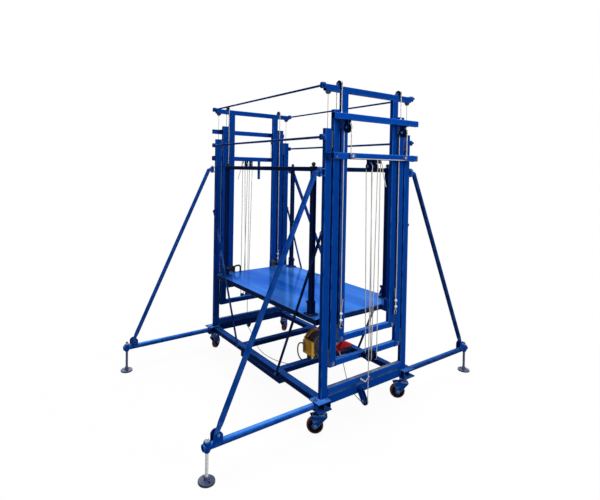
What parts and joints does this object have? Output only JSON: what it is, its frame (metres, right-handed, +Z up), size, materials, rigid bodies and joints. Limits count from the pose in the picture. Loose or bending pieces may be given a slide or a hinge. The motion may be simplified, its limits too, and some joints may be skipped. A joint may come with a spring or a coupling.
{
  "type": "mobile electric scaffold",
  "caption": "Wheeled lifting scaffold: telescopic twin masts, rope hoist, railed work platform and swing-out outriggers with screw jacks.",
  "frame": {"origin": "on the floor, under the middle of the base frame", "axes": "+X along the platform towards the mast with the railed end, +Y across it, +Z up"},
  "size_m": [1.668, 2.412, 2.1939],
  "materials": {
    "mast_paint": "glossy royal-blue powder coat",
    "deck_paint": "glossy light-blue coat on sheet steel",
    "zinc_steel": "bright zinc plate",
    "wire_rope": "galvanised stranded wire",
    "sheave_steel": "turned steel, satin",
    "wheel_rubber": "maroon tread on a black moulded core",
    "black_grip": "satin black moulding",
    "lead_rubber": "black cable jacket",
    "motor_casting": "dark grey painted casting with cooling ribs",
    "strap_paint": "orange paint",
    "cover_paint": "yellow paint",
    "gearbox_paint": "red paint",
    "drum_steel": "turned steel, satin"
  },
  "bodies": {
    "base": {"base_frame": "mast_paint", "outer_mast_right": "mast_paint", "outer_mast_left": "mast_paint", "mast_tie_rods": "mast_paint", "knee_braces": "mast_paint", "frame_fasteners": "zinc_steel", "hoist_motor": "motor_casting", "hoist_strap": "strap_paint", "hoist_end_cover": "cover_paint", "hoist_gearbox": "gearbox_paint", "hoist_lead": "lead_rubber", "slack_rope": "wire_rope", "hoist_falls": "wire_rope", "fixed_ropes": "wire_rope", "stage_rope_rise": "wire_rope"},
    "middle_right": {"middle_mast_right": "mast_paint", "middle_rope_bends_right": "wire_rope"},
    "middle_left": {"middle_mast_left": "mast_paint", "middle_rope_bends_left": "wire_rope"},
    "inner": {"inner_mast_right": "mast_paint", "inner_mast_left": "mast_paint", "top_tie_rods": "mast_paint", "stage_rope_fall": "wire_rope", "stage_rope_ends": "wire_rope", "platform_rope_rise": "wire_rope", "platform_rope_bends": "wire_rope", "platform_rope_fall": "wire_rope", "limit_cords": "wire_rope"},
    "platform": {"platform_frame": "mast_paint", "deck_sheet": "deck_paint", "guard_rail": "mast_paint", "platform_grips": "black_grip", "platform_rope_ends": "wire_rope"},
    "drum": {"hoist_drum": "drum_steel"},
    "base_pulley_right": {"base_pulley_right": "sheave_steel"},
    "upper_block_right": {"upper_block_sheaves_right": "sheave_steel"},
    "lower_block_right": {"lower_block_sheaves_right": "sheave_steel"},
    "stage_sheave_right": {"stage_sheaves_right": "sheave_steel"},
    "top_sheave_right": {"top_sheaves_right": "sheave_steel"},
    "base_pulley_left": {"base_pulley_left": "sheave_steel"},
    "upper_block_left": {"upper_block_sheaves_left": "sheave_steel"},
    "lower_block_left": {"lower_block_sheaves_left": "sheave_steel"},
    "stage_sheave_left": {"stage_sheaves_left": "sheave_steel"},
    "top_sheave_left": {"top_sheaves_left": "sheave_steel"},
    "outrigger_front_right": {"outrigger_front_right": "mast_paint"},
    "jack_front_right": {"jack_front_right": "zinc_steel"},
    "caster_front_right": {"caster_fork_front_right": "zinc_steel"},
    "wheel_front_right": {"caster_wheel_front_right": "wheel_rubber"},
    "outrigger_back_right": {"outrigger_back_right": "mast_paint"},
    "jack_back_right": {"jack_back_right": "zinc_steel"},
    "caster_back_right": {"caster_fork_back_right": "zinc_steel"},
    "wheel_back_right": {"caster_wheel_back_right": "wheel_rubber"},
    "outrigger_front_left": {"outrigger_front_left": "mast_paint"},
    "jack_front_left": {"jack_front_left": "zinc_steel"},
    "caster_front_left": {"caster_fork_front_left": "zinc_steel"},
    "wheel_front_left": {"caster_wheel_front_left": "wheel_rubber"},
    "outrigger_back_left": {"outrigger_back_left": "mast_paint"},
    "jack_back_left": {"jack_back_left": "zinc_steel"},
    "caster_back_left": {"caster_fork_back_left": "zinc_steel"},
    "wheel_back_left": {"caster_wheel_back_left": "wheel_rubber"}
  },
  "joints": [
    {"name": "middle_lift_right", "type": "slide", "parent": "base", "child": "middle_right", "axis": [0, 0, 1], "range_m": [0, 1], "deforming": ["hoist_falls", "stage_rope_rise"]},
    {"name": "middle_lift_left", "type": "slide", "parent": "base", "child": "middle_left", "axis": [0, 0, 1], "range_m": [0, 1]},
    {"name": "inner_lift", "type": "slide", "parent": "middle_right", "child": "inner", "axis": [0, 0, 1], "range_m": [0, 1], "deforming": ["stage_rope_fall", "platform_rope_rise", "limit_cords"]},
    {"name": "platform_lift", "type": "slide", "parent": "inner", "child": "platform", "axis": [0, 0, 1], "range_m": [0, 1], "deforming": ["platform_rope_fall"]},
    {"name": "drum_turn", "type": "hinge", "parent": "base", "child": "drum", "pos_m": [0.24, 0.128, 0.338], "axis": [0, 1, 0], "range_deg": [-30, 4200]},
    {"name": "base_pulley_turn_right", "type": "hinge", "parent": "base", "child": "base_pulley_right", "pos_m": [0.788, -0.065, 0.135], "axis": [0, 1, 0], "range_deg": [-30, 8220]},
    {"name": "upper_block_turn_right", "type": "hinge", "parent": "base", "child": "upper_block_right", "pos_m": [0.79, -0.0275, 1.655], "axis": [0, 1, 0], "range_deg": [-30, 8850]},
    {"name": "lower_block_turn_right", "type": "hinge", "parent": "middle_right", "child": "lower_block_right", "pos_m": [0.79, -0.0275, 0.415], "axis": [0, 1, 0], "range_deg": [-30, 6660]},
    {"name": "stage_sheave_turn_right", "type": "hinge", "parent": "middle_right", "child": "stage_sheave_right", "pos_m": [0.79, 0, 1.893], "axis": [0, 1, 0], "range_deg": [-30, 1830]},
    {"name": "top_sheave_turn_right", "type": "hinge", "parent": "inner", "child": "top_sheave_right", "pos_m": [0.727, 0, 2.165], "axis": [0, 1, 0], "range_deg": [-30, 2430]},
    {"name": "base_pulley_turn_left", "type": "hinge", "parent": "base", "child": "base_pulley_left", "pos_m": [-0.788, 0.01, 0.135], "axis": [0, 1, 0], "range_deg": [-8220, 30]},
    {"name": "upper_block_turn_left", "type": "hinge", "parent": "base", "child": "upper_block_left", "pos_m": [-0.79, -0.0275, 1.655], "axis": [0, 1, 0], "range_deg": [-8850, 30]},
    {"name": "lower_block_turn_left", "type": "hinge", "parent": "middle_left", "child": "lower_block_left", "pos_m": [-0.79, -0.0275, 0.415], "axis": [0, 1, 0], "range_deg": [-6660, 30]},
    {"name": "stage_sheave_turn_left", "type": "hinge", "parent": "middle_left", "child": "stage_sheave_left", "pos_m": [-0.79, 0, 1.893], "axis": [0, 1, 0], "range_deg": [-1830, 30]},
    {"name": "top_sheave_turn_left", "type": "hinge", "parent": "inner", "child": "top_sheave_left", "pos_m": [-0.727, 0, 2.165], "axis": [0, 1, 0], "range_deg": [-2430, 30]},
    {"name": "outrigger_swing_front_right", "type": "hinge", "parent": "base", "child": "outrigger_front_right", "pos_m": [0.727, -0.43, 0.9], "axis": [0, 0, 1], "range_deg": [-60, 90]},
    {"name": "jack_screw_front_right", "type": "slide", "parent": "outrigger_front_right", "child": "jack_front_right", "axis": [0, 0, 1], "range_m": [0, 0.1]},
    {"name": "caster_swivel_front_right", "type": "hinge", "parent": "base", "child": "caster_front_right", "pos_m": [0.735, -0.385, 0.135], "axis": [0, 0, 1], "continuous": true},
    {"name": "wheel_roll_front_right", "type": "hinge", "parent": "caster_front_right", "child": "wheel_front_right", "pos_m": [0.71065, -0.41673, 0.0525], "axis": [0.7934, -0.6088, 0], "continuous": true},
    {"name": "outrigger_swing_back_right", "type": "hinge", "parent": "base", "child": "outrigger_back_right", "pos_m": [0.727, 0.43, 0.9], "axis": [0, 0, -1], "range_deg": [-60, 90]},
    {"name": "jack_screw_back_right", "type": "slide", "parent": "outrigger_back_right", "child": "jack_back_right", "axis": [0, 0, 1], "range_m": [0, 0.1]},
    {"name": "caster_swivel_back_right", "type": "hinge", "parent": "base", "child": "caster_back_right", "pos_m": [0.735, 0.385, 0.135], "axis": [0, 0, 1], "continuous": true},
    {"name": "wheel_roll_back_right", "type": "hinge", "parent": "caster_back_right", "child": "wheel_back_right", "pos_m": [0.71065, 0.35327, 0.0525], "axis": [0.7934, -0.6088, 0], "continuous": true},
    {"name": "outrigger_swing_front_left", "type": "hinge", "parent": "base", "child": "outrigger_front_left", "pos_m": [-0.727, -0.43, 0.9], "axis": [0, 0, -1], "range_deg": [-60, 90]},
    {"name": "jack_screw_front_left", "type": "slide", "parent": "outrigger_front_left", "child": "jack_front_left", "axis": [0, 0, 1], "range_m": [0, 0.1]},
    {"name": "caster_swivel_front_left", "type": "hinge", "parent": "base", "child": "caster_front_left", "pos_m": [-0.735, -0.385, 0.135], "axis": [0, 0, 1], "continuous": true},
    {"name": "wheel_roll_front_left", "type": "hinge", "parent": "caster_front_left", "child": "wheel_front_left", "pos_m": [-0.75714, -0.35168, 0.0525], "axis": [-0.8329, -0.5534, 0], "continuous": true},
    {"name": "outrigger_swing_back_left", "type": "hinge", "parent": "base", "child": "outrigger_back_left", "pos_m": [-0.727, 0.43, 0.9], "axis": [0, 0, 1], "range_deg": [-60, 90]},
    {"name": "jack_screw_back_left", "type": "slide", "parent": "outrigger_back_left", "child": "jack_back_left", "axis": [0, 0, 1], "range_m": [0, 0.1]},
    {"name": "caster_swivel_back_left", "type": "hinge", "parent": "base", "child": "caster_back_left", "pos_m": [-0.735, 0.385, 0.135], "axis": [0, 0, 1], "continuous": true},
    {"name": "wheel_roll_back_left", "type": "hinge", "parent": "caster_back_left", "child": "wheel_back_left", "pos_m": [-0.75714, 0.41832, 0.0525], "axis": [-0.8329, -0.5534, 0], "continuous": true}
  ],
  "couplings": [
    {"joint": "middle_lift_left", "follows": "middle_lift_right", "ratio": 1},
    {"joint": "inner_lift", "follows": "middle_lift_right", "ratio": 1},
    {"joint": "platform_lift", "follows": "middle_lift_right", "ratio": 1},
    {"joint": "drum_turn", "follows": "middle_lift_right", "rad_per_m": 72.727},
    {"joint": "base_pulley_turn_right", "follows": "middle_lift_right", "rad_per_m": 142.86},
    {"joint": "upper_block_turn_right", "follows": "middle_lift_right", "rad_per_m": 153.85},
    {"joint": "lower_block_turn_right", "follows": "middle_lift_right", "rad_per_m": 115.38},
    {"joint": "stage_sheave_turn_right", "follows": "middle_lift_right", "rad_per_m": 31.25},
    {"joint": "top_sheave_turn_right", "follows": "middle_lift_right", "rad_per_m": 41.667},
    {"joint": "base_pulley_turn_left", "follows": "middle_lift_right", "rad_per_m": -142.86},
    {"joint": "upper_block_turn_left", "follows": "middle_lift_right", "rad_per_m": -153.85},
    {"joint": "lower_block_turn_left", "follows": "middle_lift_right", "rad_per_m": -115.38},
    {"joint": "stage_sheave_turn_left", "follows": "middle_lift_right", "rad_per_m": -31.25},
    {"joint": "top_sheave_turn_left", "follows": "middle_lift_right", "rad_per_m": -41.667}
  ]
}
